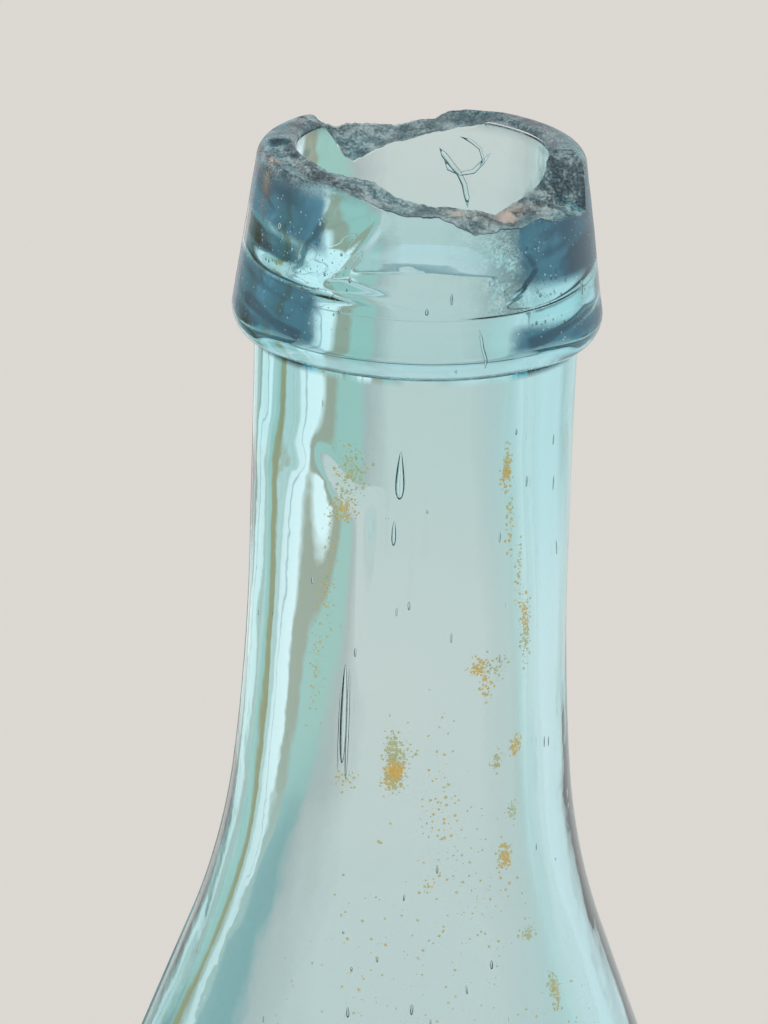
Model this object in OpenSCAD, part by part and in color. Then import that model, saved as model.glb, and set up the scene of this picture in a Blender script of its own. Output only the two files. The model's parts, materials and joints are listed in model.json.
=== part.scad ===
// Antique aqua glass bottle with a hand-applied tapered collar, its rim broken.
// Two pieces of glass: the blown bottle, and the gather of glass laid round its
// sheared neck end and tooled into a collar. The origin is the middle of the
// base, on the plane that the bottle stands on, with +Z up the neck.

/* [Bottle] */
// Height over all, to the unbroken part of the rim
height = 240; // [200:1:320]
// Outer diameter of the body
body_d = 65; // [54:0.5:80]
// Wall of the body and shoulder
wall = 3.6; // [2.8:0.1:5]
// Radius of the rounded heel
heel_r = 7; // [5:0.5:9]

/* [Base] */
// Distance from the body's side in to the ring that the bottle stands on
foot_inset = 9; // [7:0.5:12]
// Width of the flat of that ring
foot_w = 2.5; // [1.5:0.1:4]
// Height of the hollow pushed up into the base
kick_h = 9; // [4:0.5:14]
// Glass over the hollow
base_wall = 6; // [4:0.5:9]

/* [Neck] */
// Outer diameter of the straight part of the neck
neck_d = 27; // [23:0.1:33]
// Bore at the top of the neck, where the mouth was shaped
bore_d = 20.6; // [16:0.1:22]
// Length of that narrow bore, down from the sheared end
bore_len = 12; // [8:0.5:17]
// Height over which the bore widens below it
bore_ease = 2.5; // [1:0.5:5]
// Wall of the neck below the narrow bore
thin_wall = 2.2; // [1.5:0.1:3]
// Length of the neck's straight outside, from its foot to the sheared end
neck_len = 23; // [18:0.5:30]
// Distance from the rim down to the sheared end of the neck
end_depth = 12; // [9:0.5:14]
// Radius of the long sweep from the neck towards the shoulder
sweep_r = 210; // [120:5:300]
// Slope of the glass at the foot of the sweep, from upright
sweep_a = 5.3; // [4:0.1:14]

/* [Shoulder] */
// Radius of the hollow curve where the sweep turns out into the shoulder
throat_r = 60; // [20:1:90]
// Slope of the shoulder below the throat, from upright
shoulder_a = 20.5; // [16:0.5:40]
// Height of the straight slope between the throat and the round of the shoulder
slope_h = 20; // [5:1:35]

/* [Collar] */
// How far the collar stands out from the neck at its widest ring
collar_out = 2; // [1:0.1:4]
// How far the collar stands out from the line of the neck at the rim
rim_out = 0.25; // [0:0.05:2]
// How much wider the collar's bore is than the neck's, on the radius
mouth_ease = 0.2; // [0.1:0.1:1]
// Distance from the rim down to the collar's widest ring
collar_drop = 14.1; // [11:0.1:18]
// Height of the undercut from the widest ring down to the neck
undercut_h = 2.3; // [1.5:0.1:4]
// Radius that rounds the rim over, outside
rim_round = 1.6; // [0.6:0.1:2]
// Radius that rounds the rim over, inside
mouth_round = 0.8; // [0.3:0.1:1.2]

/* [Break] */
// Depth of the long break along the front of the rim
front_depth = 3; // [1:0.1:4]
// Depth of the broken stretch at the back left
back_depth = 2.2; // [1:0.1:4]
// Depth of the deep chip at the front right
chip_depth = 4.3; // [2:0.1:6]
// Depth of the smaller chips at the ends of the two breaks
nick_depth = 4; // [2:0.1:5]
// How far outside the mouth's wall the back chip is centred
nick_off = 0.7; // [0.4:0.1:1.5]

/* [Hidden] */
$fn = 96;

// Steps that an arc of the profile is drawn in
arc_steps = 14;
// Steps that a small rounded edge is drawn in
edge_steps = 3;
// Steps that the collar's undercut is drawn in
undercut_steps = 6;
// Height of the cutters above the break that they make
cutter_h = 8;

body_r = body_d / 2;
neck_r = neck_d / 2;
bore_r = bore_d / 2;
mouth_r = bore_r + mouth_ease;
widest_r = neck_r + collar_out;
rim_r = neck_r + rim_out;
neck_end = height - end_depth;
sweep_top = neck_end - neck_len;
widest_z = height - collar_drop;

// The hollow in the base is a cap of a ball that springs from the foot ring
foot_r = body_r - foot_inset;
kick_r = foot_r - foot_w;
kick_ball_r = (kick_r * kick_r + kick_h * kick_h) / (2 * kick_h);
kick_ball_z = kick_h - kick_ball_r;
kick_a = asin(kick_r / kick_ball_r);

// Points of an arc of radius r about c, from angle a0 to angle a1
function arc_points(c, r, a0, a1, steps = arc_steps) = [
    for (i = [0 : steps])
    let (a = a0 + (a1 - a0) * i / steps)
    c + r * [cos(a), sin(a)]
];

function last(list) = list[len(list) - 1];

// A station on the outer profile is [radius, height, slope from upright].
// The sweep and the throat are hollow arcs, centred outside the glass.
function hollow_arc(from, r, to_a) = [
    for (i = [1 : arc_steps])
    let (a = from[2] + (to_a - from[2]) * i / arc_steps)
    [
        from[0] + r * (cos(from[2]) - cos(a)),
        from[1] - r * (sin(a) - sin(from[2])),
        a
    ]
];

// The shoulder is a round arc, centred inside, and ends upright on the body
function round_arc(from, r) = [
    for (i = [1 : arc_steps])
    let (a = from[2] * (1 - i / arc_steps))
    [
        from[0] + r * (cos(a) - cos(from[2])),
        from[1] - r * (sin(from[2]) - sin(a)),
        a
    ]
];

bore_foot = neck_end - bore_len;
neck = [for (z = [neck_end, bore_foot, bore_foot - bore_ease, sweep_top]) [neck_r, z, 0]];
sweep = hollow_arc(last(neck), sweep_r, sweep_a);
throat = hollow_arc(last(sweep), throat_r, shoulder_a);
slope = [[last(throat)[0] + slope_h * tan(shoulder_a), last(throat)[1] - slope_h, shoulder_a]];
shoulder_r = (body_r - last(slope)[0]) / (1 - cos(shoulder_a));
shoulder = round_arc(last(slope), shoulder_r);
outline = concat(neck, sweep, throat, slope, shoulder);

// The wall is thick round the narrow bore, thin from there down the sweep, and
// thickens evenly down the throat and shoulder to the body's wall.
neck_wall = neck_r - bore_r;
sweep_foot = last(sweep)[1];
body_top = last(outline)[1];
function wall_at(z) =
    let (share = min(max((sweep_foot - z) / (sweep_foot - body_top), 0), 1))
    z >= bore_foot ? neck_wall : thin_wall + (wall - thin_wall) * share;

// The point of the inner surface behind station s
function inward(s, w) = [s[0] - w * cos(s[2]), s[1] - w * sin(s[2])];

// Blown bottle: one wall of glass from the base to the sheared neck end
module bottle_body() {
    inner_r = body_r - wall;
    inner_heel_r = max(heel_r - wall / 2, 1);
    outside = [for (s = outline) [s[0], s[1]]];
    heel = arc_points([body_r - heel_r, heel_r], heel_r, 0, -75);
    foot = [[foot_r, 0]];
    hollow = arc_points([0, kick_ball_z], kick_ball_r, 90 - kick_a, 90);
    crown = arc_points([0, kick_ball_z], kick_ball_r + base_wall, 90, 90 - kick_a);
    inside_heel = arc_points(
        [inner_r - inner_heel_r, base_wall + inner_heel_r], inner_heel_r, -75, 0
    );
    inside = [for (i = [len(outline) - 1 : -1 : 0]) inward(outline[i], wall_at(outline[i][1]))];
    color("paleturquoise")
    rotate_extrude()
    polygon(concat(outside, heel, foot, hollow, crown, inside_heel, inside));
}

// Collar: glass laid round the neck end, tapered above and undercut below
module applied_collar() {
    rim_w = rim_r - mouth_r;
    outer_round = min(rim_round, rim_w * 0.6);
    inner_round = min(mouth_round, rim_w * 0.3);
    lip = concat(
        arc_points([mouth_r + inner_round, height - inner_round], inner_round, 180, 90, edge_steps),
        arc_points([rim_r - outer_round, height - outer_round], outer_round, 90, 0, edge_steps)
    );
    undercut = [
        for (i = [0 : undercut_steps])
        let (a = 90 * i / undercut_steps)
        [neck_r + collar_out * cos(a), widest_z - undercut_h * sin(a)]
    ];
    seat = [[neck_r, neck_end], [mouth_r, neck_end]];
    color("lightseagreen")
    difference() {
        rotate_extrude() polygon(concat(lip, undercut, seat));
        rim_break();
    }
}

// The broken rim: two long slanting breaks, and the shell-shaped scoops of
// the chips at their ends. Directions are angles from +X.
module rim_break() {
    slant_cut(
        dir = 270, start = 3.5, side = -2, width = 22,
        depth = front_depth, lean = -6, roll = -8.5
    );
    slant_cut(
        dir = 104, start = 5, side = 0, width = 12,
        depth = back_depth, lean = -8, roll = -9.5
    );
    scoop(dir = 336, r = rim_r, depth = chip_depth, ball_r = 5);
    scoop(dir = 292, r = rim_r, depth = nick_depth, ball_r = 4);
    scoop(dir = 126, r = mouth_r + nick_off, depth = nick_depth, ball_r = 3.4);
}

// A flat break facing dir, from start outwards, lying depth under the rim.
// It leans along dir and rolls across it.
module slant_cut(dir, start, side, width, depth, lean, roll) {
    rotate([0, 0, dir])
    translate([start, side, height - depth])
    rotate([roll, lean, 0])
    translate([0, -width / 2, 0])
    cube([widest_r, width, cutter_h]);
}

// A shell-shaped chip: a ball that bites depth into the rim at distance r
module scoop(dir, r, depth, ball_r) {
    rotate([0, 0, dir])
    translate([r, 0, height - depth + ball_r])
    sphere(ball_r);
}

bottle_body();
applied_collar();
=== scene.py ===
"""An antique aqua glass bottle: the blown body and the broken collar laid on its neck."""
import json
import math
import random
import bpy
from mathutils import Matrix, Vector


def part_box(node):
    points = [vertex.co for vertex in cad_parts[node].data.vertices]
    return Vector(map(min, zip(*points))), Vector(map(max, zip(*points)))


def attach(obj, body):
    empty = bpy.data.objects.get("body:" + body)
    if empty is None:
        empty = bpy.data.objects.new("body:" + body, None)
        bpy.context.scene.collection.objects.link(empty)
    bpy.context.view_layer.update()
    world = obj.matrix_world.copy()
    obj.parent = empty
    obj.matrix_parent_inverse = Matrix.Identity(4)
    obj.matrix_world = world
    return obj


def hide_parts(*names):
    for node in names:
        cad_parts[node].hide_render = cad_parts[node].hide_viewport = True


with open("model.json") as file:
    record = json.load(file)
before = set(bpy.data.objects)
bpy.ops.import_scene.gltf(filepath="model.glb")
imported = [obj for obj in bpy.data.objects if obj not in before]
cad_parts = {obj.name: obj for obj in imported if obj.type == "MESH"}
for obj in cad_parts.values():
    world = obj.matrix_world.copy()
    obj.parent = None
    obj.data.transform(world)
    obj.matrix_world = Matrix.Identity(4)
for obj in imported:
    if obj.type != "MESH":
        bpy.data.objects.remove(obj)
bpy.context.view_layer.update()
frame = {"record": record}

from types import SimpleNamespace

import bmesh
import bpy
import numpy as np
from mathutils import Matrix, Vector, noise

bl_info = {
    "name": "Antique glass bottle",
    "version": (1, 0, 0),
    "blender": (4, 5, 0),
    "location": "3D View > Sidebar > Bottle",
    "description": "Builds a mouth-blown aqua bottle with a hand-applied, broken collar",
    "category": "Add Mesh",
}

MM = 0.001
BODY_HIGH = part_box("bottle_body")[1]
COLLAR_LOW, COLLAR_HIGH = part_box("applied_collar")
NECK_BORE = next(m for m in frame["record"]["mounts"] if m["name"] == "neck_bore")

# Heights and radii that the frame gives, in millimetres.
RIM_Z = COLLAR_HIGH.z / MM
NECK_END = BODY_HIGH.z / MM
COLLAR_FOOT = COLLAR_LOW.z / MM
WIDEST_R = COLLAR_HIGH.x / MM
BODY_R = BODY_HIGH.x / MM
BORE_R = NECK_BORE["dims"]["r_mm"]
BORE_FOOT = NECK_END - NECK_BORE["dims"]["length_mm"]

# Keeps the waves on the inside of the wall apart from those on its outside.
INSIDE_WAVES_APART = 7.3
# Points of a wall that lie nearer than this are made one, in millimetres.
MERGED = 0.002
# How far the stain's crumbs stand off the inner wall, in millimetres.
CRUMBS_OFF_WALL = 0.1

# Seeds lie above the one height and this far under the collar, in millimetres.
SEEDS_OVER, SEEDS_UNDER_COLLAR = 12, 2
# The most that a seed leans either way, in radians.
SEED_LEAN = 0.07
# How ragged the stain's crumbs are, and the size of what ragged them, in millimetres.
CRUMB_RAG, CRUMB_RAG_SIZE = 0.16, 0.25

# Which surface of the glass a row of points is on.
OUTSIDE, INSIDE, BROKEN, WELD, LIP = range(5)


# ---------------------------------------------------------------- settings


def length(name, description, value, low, high):
    """A length that is given in millimetres and kept in metres."""
    return bpy.props.FloatProperty(
        name=name, description=description, default=value * MM, min=low * MM, max=high * MM,
        subtype="DISTANCE", unit="LENGTH", precision=5,
    )


def slope(name, description, value, low, high):
    """An angle that is given in degrees and kept in radians."""
    return bpy.props.FloatProperty(
        name=name, description=description, default=math.radians(value),
        min=math.radians(low), max=math.radians(high), subtype="ANGLE", unit="ROTATION",
    )


def amount(name, description, value, low, high):
    return bpy.props.FloatProperty(
        name=name, description=description, default=value, min=low, max=high, precision=2
    )


def in_mm(group):
    """The values of a group, with its lengths in millimetres."""
    values = {}
    for key in group.__annotations__:
        value = getattr(group, key)
        if group.bl_rna.properties[key].unit == "LENGTH":
            value = round(value / MM, 6)
        values[key] = value
    return SimpleNamespace(**values)


def colour(name, description, value):
    return bpy.props.FloatVectorProperty(
        name=name, description=description, default=value, size=4, min=0, max=1, subtype="COLOR"
    )


def srgb(text):
    """Linear red, green, blue and a full alpha, of a colour written as sRGB hex."""
    parts = [int(text[i : i + 2], 16) / 255 for i in (0, 2, 4)]
    linear = (c / 12.92 if c <= 0.04045 else ((c + 0.055) / 1.055) ** 2.4 for c in parts)
    return (*linear, 1.0)


class BodySizes(bpy.types.PropertyGroup):
    """Sizes of the blown bottle."""

    wall: length("Wall", "Wall of the body and shoulder", 3.6, 2.8, 5)
    heel_r: length("Heel", "Radius of the rounded heel", 7, 5, 9)
    foot_inset: length("Foot inset", "From the body's side in to the foot ring", 9, 7, 12)
    foot_w: length("Foot width", "Flat of the foot ring", 2.5, 1.5, 4)
    kick_h: length("Hollow", "Height of the hollow in the base", 9, 4, 14)
    base_wall: length("Base wall", "Glass over the hollow", 6, 4, 9)
    neck_r: length("Neck radius", "Outer radius of the straight neck", 13.5, 11.5, 16.5)
    neck_len: length("Neck length", "Length of the neck's straight outside", 23, 18, 30)
    bore_ease: length("Bore ease", "Height over which the bore widens at the left", 2.5, 1, 5)
    long_ease: length("Long ease", "Height over which it widens elsewhere", 22, 5, 30)
    thin_wall: length("Thin wall", "Wall of the neck below the narrow bore", 2.2, 1.5, 3)
    sweep_r: length("Sweep", "Radius of the sweep below the neck", 210, 120, 300)
    sweep_a: slope("Sweep slope", "Slope at the foot of the sweep, from upright", 5.3, 4, 14)
    throat_r: length("Throat", "Radius of the hollow curve over the shoulder", 60, 20, 90)
    shoulder_a: slope("Shoulder slope", "Slope of the shoulder, from upright", 20.5, 16, 40)
    slope_h: length("Straight slope", "Height of the shoulder's straight part", 20, 5, 35)
    outer_wave: length("Outer waves", "Height of the waves on the outside", 0.1, 0, 0.4)
    inner_wave: length("Inner waves", "Height of the waves on the inside", 0.2, 0, 0.6)
    seed_density: amount("Seeds", "Bubbles to each square centimetre", 0.7, 0, 3)
    around: bpy.props.IntProperty(
        name="Segments", description="Points round the bottle", default=216, min=48, max=256
    )


class CollarSizes(bpy.types.PropertyGroup):
    """Sizes of the applied collar and its broken rim."""

    rim_out: length("Rim", "How far the rim stands out from the neck's line", 0.25, 0, 2)
    mouth_ease: length("Mouth ease", "Mouth radius over the neck's bore radius", 0.2, 0.1, 1)
    undercut_h: length("Undercut", "Height of the undercut", 2.3, 1.5, 4)
    rim_round: length("Outer edge", "Radius of the rim's outer edge", 1.6, 0.6, 2)
    mouth_round: length("Inner edge", "Radius of the rim's inner edge", 0.8, 0.3, 1.2)
    weld_gap: length("Weld gap", "Air left between collar and neck", 0.01, 0.005, 0.05)
    seam_depth: length("Seam groove", "Depth of the groove inside, over the joint", 0.45, 0, 1)
    chip_rough: length("Fracture", "Height of the grain on the broken glass", 0.26, 0, 0.5)
    around: bpy.props.IntProperty(
        name="Segments", description="Points round the collar", default=400, min=96, max=440
    )


class GlassLooks(bpy.types.PropertyGroup):
    """Colours of the glass and what clings to it."""

    tint: colour("Tint", "What a thick piece of the glass lets through", srgb("2FE3ED"))
    density: amount("Density", "Absorption per metre", 70, 0, 200)
    # Painted shade: the deep blue and its diffuse haze, painted on the collar's outer skin where it
    # turns from the eye.
    edge: colour("Thick edge", "Colour of light that runs inside the collar", srgb("2A627C"))
    painted_edge_haze: colour("Edge haze", "Colour of the air specks in the thick edge", srgb("3F7088"))
    fracture: colour("Fracture", "What the broken faces let through", srgb("C8DEDF"))
    fracture_dark: colour("Fracture hollows", "Their darker grain", srgb("47737F"))
    soil: colour("Soil", "Dried soil that clings to the break", srgb("D6C6B8"))


class StageLooks(bpy.types.PropertyGroup):
    """The floor and the light."""

    floor: colour("Floor", "Colour of the floor", srgb("F3EEE8"))
    ambient: amount("Ambient", "Strength of the light from all round", 0.8, 0, 4)


# ---------------------------------------------------------------- node helper


def add(tree, kind, inputs=None, **settings):
    """Adds one node; each input is a value, a socket or a node, whose first output it takes."""
    made = tree.nodes.new(kind)
    for name, value in settings.items():
        setattr(made, name, value)
    for name, value in (inputs or {}).items():
        socket = made.inputs[name]
        if isinstance(value, bpy.types.Node):
            value = value.outputs[0]
        if isinstance(value, bpy.types.NodeSocket):
            tree.links.new(value, socket)
        else:
            socket.default_value = value
    return made


def scale_for(size):
    """Scale of a pattern whose features are a size in millimetres wide."""
    return 1 / (size * MM)


# ---------------------------------------------------------------- profile


def clamped(t):
    return min(max(t, 0.0), 1.0)


def smooth_step(t):
    t = clamped(t)
    return t * t * (3 - 2 * t)


def ramp(value, start, end):
    """How far a value has gone from start to end, easing at both, from 0 to 1."""
    return smooth_step((value - start) / (end - start))


def point_at(angle, r, z):
    """The point at a direction in degrees, a radius and a height, in metres."""
    a = math.radians(angle)
    return Vector((r * math.cos(a), r * math.sin(a), z)) * MM


def seam_height(a):
    """Height of the wavy joint that shows inside, over the neck end, at angle a."""
    return NECK_END + 1.4 + 0.9 * math.cos(a - 2.6) + 0.3 * math.sin(3 * a + 1)


def hollow_arc(start, r, to_a, steps):
    """Stations down an arc centred outside the glass, from start to slope to_a."""
    r0, z0, a0 = start
    for i in range(1, steps + 1):
        a = a0 + (to_a - a0) * i / steps
        yield (r0 + r * (math.cos(a0) - math.cos(a)), z0 - r * (math.sin(a) - math.sin(a0)), a)


def round_arc(start, r, steps):
    """Stations down an arc centred inside the glass, from start to upright."""
    r0, z0, a0 = start
    for i in range(1, steps + 1):
        a = a0 * (1 - i / steps)
        yield (r0 + r * (math.cos(a) - math.cos(a0)), z0 - r * (math.sin(a0) - math.sin(a)), a)


def slanted(start, z, steps):
    """Stations straight down the slope that start has, to height z."""
    r0, z0, a0 = start
    for i in range(1, steps + 1):
        drop = (z0 - z) * i / steps
        yield (r0 + drop * math.tan(a0), z0 - drop, a0)


def arc(cr, cz, r, a0, a1, steps):
    """Points of an arc about (cr, cz), from angle a0 to a1 in degrees."""
    for i in range(steps + 1):
        a = math.radians(a0 + (a1 - a0) * i / steps)
        yield (cr + r * math.cos(a), cz + r * math.sin(a))


def body_profile(s):
    """The bottle's closed outline as rows of radius, height, wave height and side."""
    stations = [(s.neck_r, NECK_END, 0.0)]
    stations += slanted(stations[-1], COLLAR_FOOT, 6)
    stations += slanted(stations[-1], BORE_FOOT, 12)
    stations += slanted(stations[-1], BORE_FOOT - s.bore_ease, 12)
    stations += slanted(stations[-1], NECK_END - s.neck_len, 8)
    stations += hollow_arc(stations[-1], s.sweep_r, s.sweep_a, 30)
    sweep_foot = stations[-1][1]
    stations += hollow_arc(stations[-1], s.throat_r, s.shoulder_a, 24)
    lean = stations[-1][2]
    stations += slanted(stations[-1], stations[-1][1] - s.slope_h, 16)
    shoulder_r = (BODY_R - stations[-1][0]) / (1 - math.cos(lean))
    stations += round_arc(stations[-1], shoulder_r, 20)
    body_top = stations[-1][1]
    stations += slanted(stations[-1], s.heel_r + 12, 24)
    stations += slanted(stations[-1], s.heel_r, 4)

    rows = []
    for r, z, _ in stations:
        weld = z > COLLAR_FOOT - 0.01
        still = clamped((COLLAR_FOOT - z) / 4)
        rows.append((r, z, s.outer_wave * still, WELD if weld else OUTSIDE))
    foot_r = BODY_R - s.foot_inset
    kick_r = foot_r - s.foot_w
    ball_r = (kick_r**2 + s.kick_h**2) / (2 * s.kick_h)
    ball_z = s.kick_h - ball_r
    kick_a = math.degrees(math.asin(kick_r / ball_r))
    for r, z in list(arc(BODY_R - s.heel_r, s.heel_r, s.heel_r, 0, -75, 10))[1:]:
        rows.append((r, z, s.outer_wave * 0.5, OUTSIDE))
    for r in (foot_r + 0.6, foot_r, (foot_r + kick_r) / 2, kick_r):
        rows.append((r, 0 if r <= foot_r else 0.05, 0, OUTSIDE))
    for r, z in list(arc(0, ball_z, ball_r, 90 - kick_a, 90, 14))[1:]:
        rows.append((r, z, 0.1 * (r > 1), OUTSIDE))

    inner_r = BODY_R - s.wall
    inner_heel = max(s.heel_r - s.wall / 2, 1)
    for r, z in arc(0, ball_z, ball_r + s.base_wall, 90, 90 - kick_a, 10):
        rows.append((r, z, s.inner_wave * (r > 1), INSIDE))
    for r, z in arc(inner_r - inner_heel, s.base_wall + inner_heel, inner_heel, -75, 0, 8):
        rows.append((r, z, s.inner_wave, INSIDE))
    for i in range(len(stations) - 5, 0, -1):
        r, z, a = stations[i]
        share = clamped((sweep_foot - z) / (sweep_foot - body_top))
        eased = ramp(z, BORE_FOOT - s.long_ease, BORE_FOOT)
        w = s.thin_wall + (s.wall - s.thin_wall) * share
        w += (s.neck_r - BORE_R - s.thin_wall) * eased
        ease = clamped((NECK_END - z) / 3)
        rows.append((r - w * math.cos(a), z - w * math.sin(a), s.inner_wave * ease, INSIDE))
    rows.append((BORE_R, NECK_END - 0.35, 0, INSIDE))
    rows.append((BORE_R, NECK_END - 0.06, 0, INSIDE))
    rows.append((BORE_R, NECK_END - 0.02, 0, INSIDE))
    rows.append((BORE_R + 0.02, NECK_END, 0, WELD))
    rows.append((s.neck_r - 0.1, NECK_END, 0, WELD))
    return rows


def mark(mesh, name, values):
    """Keeps one number a point on a mesh, under a name."""
    kept = mesh.attributes.new(name, "FLOAT", "POINT")
    kept.data.foreach_set("value", np.array(values, np.float32))


def points_mesh(name, rows):
    """A bare mesh whose points are the outline's rows, with what each row is."""
    mesh = bpy.data.meshes.new(name)
    mesh.from_pydata([(r * MM, 0, z * MM) for r, z, _, _ in rows], [], [])
    mark(mesh, "wave", [wave * MM for _, _, wave, _ in rows])
    mark(mesh, "inside", [side == INSIDE for _, _, _, side in rows])
    mark(mesh, "weld", [side == WELD for _, _, _, side in rows])
    return mesh


# ---------------------------------------------------------------- Geometry Nodes


def started_tree(name, whole, numbers):
    """A node tree for meshes with its inputs named, and the sockets that bring them in."""
    tree = bpy.data.node_groups.new(name, "GeometryNodeTree")
    tree.is_modifier = True
    kinds = {"Geometry": "Geometry", "Material": "Material"}
    kinds |= dict.fromkeys(whole, "Int") | dict.fromkeys(numbers, "Float")
    for key, kind in kinds.items():
        tree.interface.new_socket(name=key, in_out="INPUT", socket_type="NodeSocket" + kind)
    tree.interface.new_socket(name="Geometry", in_out="OUTPUT", socket_type="NodeSocketGeometry")
    return tree, add(tree, "NodeGroupInput").outputs


def finished_tree(tree, given, shell):
    """Ends a tree with plain faces in the given material."""
    shell = add(tree, "GeometryNodeRealizeInstances", {"Geometry": shell})
    shell = add(tree, "GeometryNodeSetMaterial", {"Geometry": shell, "Material": given["Material"]})
    add(tree, "NodeGroupOutput", {"Geometry": shell})
    return tree


def named(tree, key):
    """The field of a number kept on the mesh."""
    kept = add(tree, "GeometryNodeInputNamedAttribute", {"Name": key}, data_type="FLOAT")
    return kept.outputs["Attribute"]


def blown_wall_tree():
    """Turns an outline of points round the axis and lays the glass's slow waves on it."""
    sizes = "Ripple Width", "Ripple Length", "Lump Size", "Seed"
    tree, given = started_tree("Blown glass wall", ["Segments"], sizes)

    rows = add(tree, "GeometryNodeAttributeDomainSize", {"Geometry": given["Geometry"]})
    columns = add(tree, "ShaderNodeMath", {0: given["Segments"], 1: 1.0})
    sides = {"Vertices X": rows.outputs["Point Count"], "Vertices Y": columns}
    grid = add(tree, "GeometryNodeMeshGrid", sides)
    index = add(tree, "GeometryNodeInputIndex")
    ratio = add(tree, "ShaderNodeMath", {0: index, 1: columns}, operation="DIVIDE")
    nudged = add(tree, "ShaderNodeMath", {0: ratio, 1: 0.0001})
    row = add(tree, "ShaderNodeMath", {0: nudged}, operation="FLOOR")
    column = add(tree, "ShaderNodeMath", {0: index, 1: columns}, operation="MODULO")
    share = add(tree, "ShaderNodeMath", {0: column, 1: given["Segments"]}, operation="DIVIDE")
    angle = add(tree, "ShaderNodeMath", {0: share, 1: math.tau}, operation="MULTIPLY")

    def sampled(kind, value):
        inputs = {"Geometry": given["Geometry"], "Value": value, "Index": row}
        return add(tree, "GeometryNodeSampleIndex", inputs, data_type=kind).outputs["Value"]

    at = add(tree, "GeometryNodeInputPosition")
    r, _, z = add(tree, "ShaderNodeSeparateXYZ", {0: sampled("FLOAT_VECTOR", at)}).outputs
    turned = add(tree, "ShaderNodeCombineXYZ", {2: z})
    for axis, way in enumerate(("COSINE", "SINE")):
        side = add(tree, "ShaderNodeMath", {0: angle}, operation=way)
        reach = add(tree, "ShaderNodeMath", {0: r, 1: side}, operation="MULTIPLY")
        tree.links.new(reach.outputs[0], turned.inputs[axis])
    shell = grid
    for key in ("wave", "inside", "weld"):
        inputs = {"Geometry": shell, "Name": key, "Value": sampled("FLOAT", named(tree, key))}
        shell = add(tree, "GeometryNodeStoreNamedAttribute", inputs, data_type="FLOAT", domain="POINT")
    shell = add(tree, "GeometryNodeSetPosition", {"Geometry": shell, "Position": turned})
    shell = add(tree, "GeometryNodeMergeByDistance", {"Geometry": shell, "Distance": MERGED * MM})

    # Waves move a point along its radius: long upright ripples, and round lumps.
    here = add(tree, "GeometryNodeInputPosition")
    x, y, z = add(tree, "ShaderNodeSeparateXYZ", {0: here}).outputs
    level = add(tree, "ShaderNodeCombineXYZ", {0: x, 1: y, 2: 0.0})
    outwards = add(tree, "ShaderNodeVectorMath", {0: level}, operation="NORMALIZE")
    wide = add(tree, "ShaderNodeMath", {0: z, 1: given["Ripple Length"]}, operation="DIVIDE")
    narrow = add(tree, "ShaderNodeMath", {0: 1.0, 1: given["Ripple Width"]}, operation="DIVIDE")
    across = add(tree, "ShaderNodeVectorMath", {0: level, "Scale": narrow}, operation="SCALE")
    tall = add(tree, "ShaderNodeCombineXYZ", {0: 0.0, 1: 0.0, 2: wide})
    stretched = add(tree, "ShaderNodeVectorMath", {0: across, 1: tall})
    own = {0: named(tree, "inside"), 1: INSIDE_WAVES_APART, 2: given["Seed"]}
    own = add(tree, "ShaderNodeMath", own, operation="MULTIPLY_ADD")
    fine = add(tree, "ShaderNodeMath", {0: 1.0, 1: given["Lump Size"]}, operation="DIVIDE")
    ripples, lumps = (
        add(
            tree,
            "ShaderNodeTexNoise",
            {"Vector": vector, "W": own, "Scale": scale, "Detail": detail},
            noise_dimensions="4D",
        )
        for vector, scale, detail in ((stretched, 1.0, 2.0), (here, fine, 1.0))
    )
    both = add(tree, "ShaderNodeMath", {0: ripples, 1: lumps})
    # Two noises add up to about 1, so taking 1.6 away moves the glass inwards only.
    inward = add(tree, "ShaderNodeMath", {0: both, 1: 1.6}, operation="SUBTRACT")
    depth = add(tree, "ShaderNodeMath", {0: inward, 1: named(tree, "wave")}, operation="MULTIPLY")
    shift = add(tree, "ShaderNodeVectorMath", {0: outwards, "Scale": depth}, operation="SCALE")
    shell = add(tree, "GeometryNodeSetPosition", {"Geometry": shell, "Offset": shift})
    shell = add(tree, "GeometryNodeSetShadeSmooth", {"Geometry": shell, "Shade Smooth": True})
    return finished_tree(tree, given, shell)


def scattered(tree, given, density, depth):
    """Points scattered over the mesh and sunk to a depth, their turns and their sizes."""
    inputs = {"Mesh": given["Geometry"], "Density": density, "Seed": given["Seed"]}
    points = add(tree, "GeometryNodeDistributePointsOnFaces", inputs)
    normal = points.outputs["Normal"]
    sunk = add(tree, "ShaderNodeVectorMath", {0: normal, "Scale": depth}, operation="SCALE")
    placed = add(
        tree, "GeometryNodeSetPosition", {"Geometry": points.outputs["Points"], "Offset": sunk}
    )
    spread = add(
        tree, "FunctionNodeRandomValue", {"Min": 0.0, "Max": 1.0, "Seed": 3}, data_type="FLOAT"
    ).outputs["Value"]
    # Small ones are common and large ones rare.
    rare = add(tree, "ShaderNodeMath", {0: spread, 1: 3.0}, operation="POWER")
    reach = {"Value": rare, "To Min": given["Size Min"], "To Max": given["Size Max"]}
    size = add(tree, "ShaderNodeMapRange", reach)
    return placed, points.outputs["Rotation"], size


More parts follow.
